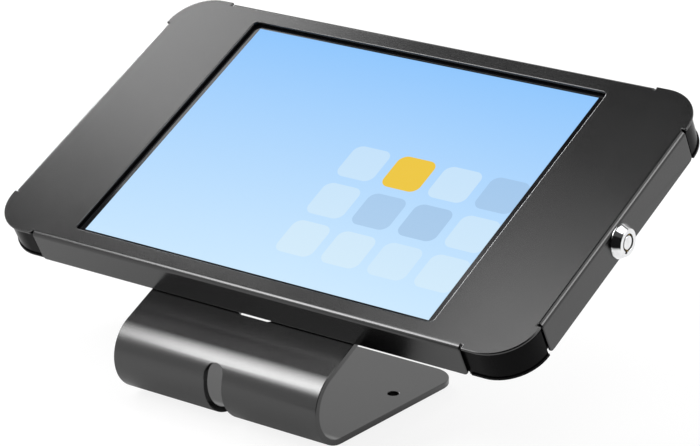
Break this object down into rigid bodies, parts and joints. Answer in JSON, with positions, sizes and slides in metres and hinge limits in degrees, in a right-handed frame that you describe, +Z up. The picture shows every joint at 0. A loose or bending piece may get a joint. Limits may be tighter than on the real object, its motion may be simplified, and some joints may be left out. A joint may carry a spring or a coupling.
{
  "type": "tablet security kiosk stand",
  "caption": "Desktop kiosk stand: a folded steel base carries a sloped steel tray that holds a tablet on foam, under a hinged frame cover with a window and a tubular key lock.",
  "frame": {"origin": "midway between the two desk-screw holes, on the underside of the base's bottom plate", "axes": "+X to the right as seen by the user, +Y to the back, +Z up, square to the desk"},
  "size_m": [0.3224, 0.1901, 0.1461],
  "materials": {
    "base_coat": "semi-gloss powder coat",
    "tray_coat": "semi-gloss powder coat",
    "cover_coat": "semi-gloss powder coat",
    "foot_rubber": "matte",
    "gasket_rubber": "matte",
    "foam": "closed-cell foam",
    "zinc_steel": "zinc plated",
    "lock_chrome": "polished chrome",
    "pin_brass": "satin",
    "tablet_case": "anodised",
    "display": "lit",
    "screen_glass": "polished"
  },
  "bodies": {
    "stand": {"base_bracket": "base_coat", "base_feet": "foot_rubber", "mounting_screws": "zinc_steel", "screw_washers": "zinc_steel", "press_nuts": "zinc_steel", "rear_tray": "tray_coat", "lock_keeper": "zinc_steel", "back_pads": "foam", "side_blocks": "foam", "tablet_shell": "tablet_case", "tablet_display": "display", "tablet_glass": "screen_glass"},
    "cover": {"front_cover": "cover_coat", "window_gasket": "gasket_rubber", "lock_housing": "lock_chrome", "lock_washer": "zinc_steel", "lock_nut": "zinc_steel"},
    "lock_core": {"lock_plug": "lock_chrome", "tumbler_pins": "pin_brass", "lock_cam": "zinc_steel", "cam_screw": "zinc_steel"}
  },
  "joints": [
    {"name": "cover_hinge", "type": "hinge", "parent": "stand", "child": "cover", "pos_m": [-0.16085, 0.03197, 0.09028], "axis": [0, -0.8924, -0.4512], "range_deg": [0, 40]},
    {"name": "lock_turn", "type": "hinge", "parent": "cover", "child": "lock_core", "pos_m": [0.1556, 0.02976, 0.09466], "axis": [1, 0, 0], "range_deg": [0, 90]}
  ]
}
